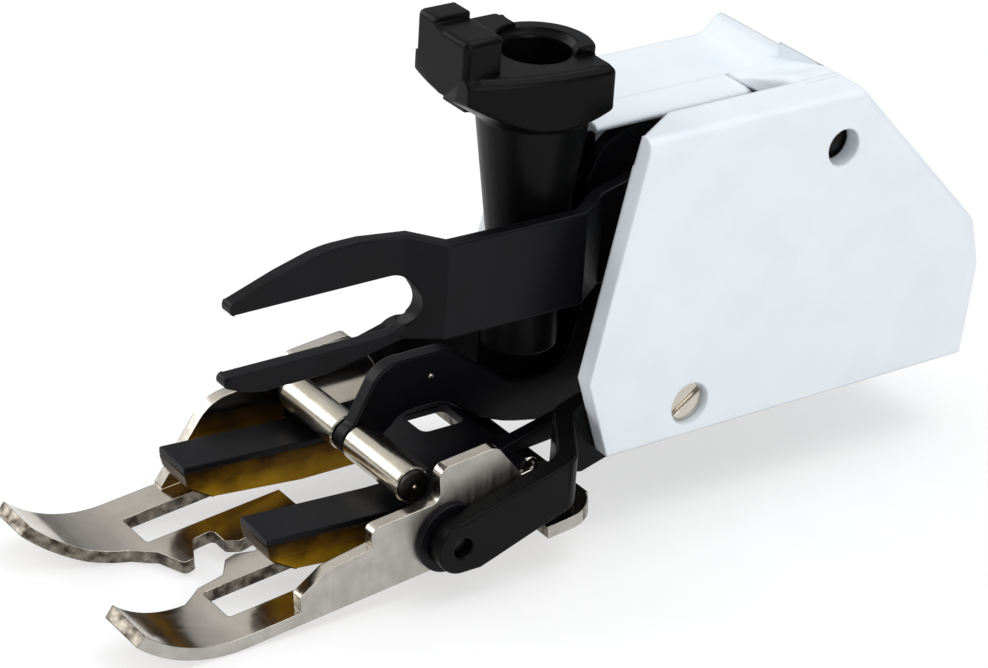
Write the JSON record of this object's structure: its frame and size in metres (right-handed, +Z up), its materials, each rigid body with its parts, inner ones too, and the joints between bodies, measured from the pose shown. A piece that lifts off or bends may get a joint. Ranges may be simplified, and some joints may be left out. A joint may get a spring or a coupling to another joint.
{
  "type": "sewing machine presser foot",
  "caption": "Presser foot with a walking feed: split nickel sole on a black frame, amber feed pads under twin rollers, a forked lever and a white lever housing behind.",
  "frame": {"origin": "mouth of the bar socket, on its axis", "axes": "+Z up along the presser bar, +Y to the back (away from the operator), +X to the side of the fork"},
  "size_m": [0.023, 0.0696, 0.036],
  "materials": {
    "black_enamel": "gloss black enamel",
    "satin_black": "satin black coating",
    "bright_nickel": "bright nickel plate",
    "dark_steel": "oiled turned steel",
    "spring_wire": "drawn spring wire",
    "amber_pad": "translucent amber polyurethane",
    "white_plastic": "moulded, soft gloss"
  },
  "bodies": {
    "frame": {"frame_casting": "black_enamel", "housing_cover": "white_plastic", "housing_screw": "bright_nickel", "lever_shaft": "dark_steel", "shaft_clip": "dark_steel", "spacer_far": "dark_steel", "spacer_mid": "dark_steel", "spacer_near": "dark_steel", "fork_spring": "spring_wire", "sole_pin_near": "dark_steel", "sole_pin_far": "dark_steel", "pivot_washer_near": "satin_black", "pivot_washer_far": "satin_black"},
    "fork": {"fork_lever": "satin_black"},
    "roller_lever": {"roller_arm": "satin_black", "roller_pin": "dark_steel"},
    "near_roller": {"roller_near": "bright_nickel"},
    "far_roller": {"roller_far": "bright_nickel"},
    "link": {"drive_link": "satin_black", "link_pin": "dark_steel"},
    "carriage": {"feed_carriage": "satin_black", "feed_pad_near": "amber_pad", "feed_pad_far": "amber_pad"},
    "sole": {"sole_plate": "bright_nickel", "sole_spring": "spring_wire"}
  },
  "joints": [
    {"name": "fork_swing", "type": "hinge", "parent": "frame", "child": "fork", "pos_m": [0.0024, 0.02, -0.0077], "axis": [-1, 0, 0], "range_deg": [-5, 9], "stiffness_Nm_per_rad": 0.06},
    {"name": "roller_swing", "type": "hinge", "parent": "frame", "child": "roller_lever", "pos_m": [0, 0.02, -0.0077], "axis": [-1, 0, 0], "range_deg": [-1.26, 0.7]},
    {"name": "near_roller_spin", "type": "hinge", "parent": "roller_lever", "child": "near_roller", "pos_m": [0.004, -0.01324, -0.02554], "axis": [1, 0, 0], "continuous": true},
    {"name": "far_roller_spin", "type": "hinge", "parent": "roller_lever", "child": "far_roller", "pos_m": [-0.004, -0.01324, -0.02554], "axis": [1, 0, 0], "continuous": true},
    {"name": "link_swing", "type": "hinge", "parent": "frame", "child": "link", "pos_m": [0.00465, 0.02, -0.0077], "axis": [-1, 0, 0], "range_deg": [-2.7, 1.5]},
    {"name": "carriage_swing", "type": "hinge", "parent": "link", "child": "carriage", "pos_m": [0.0035, 0.009, -0.0253], "axis": [-1, 0, 0], "range_deg": [-1.2, 2.15]},
    {"name": "sole_rock", "type": "hinge", "parent": "frame", "child": "sole", "pos_m": [0, -0.0118, -0.0286], "axis": [-1, 0, 0], "range_deg": [-1.2, 7], "stiffness_Nm_per_rad": 0.05}
  ],
  "couplings": [
    {"joint": "roller_swing", "follows": "fork_swing", "ratio": -0.14},
    {"joint": "link_swing", "follows": "fork_swing", "ratio": -0.3},
    {"joint": "carriage_swing", "follows": "fork_swing", "ratio": 0.239}
  ]
}
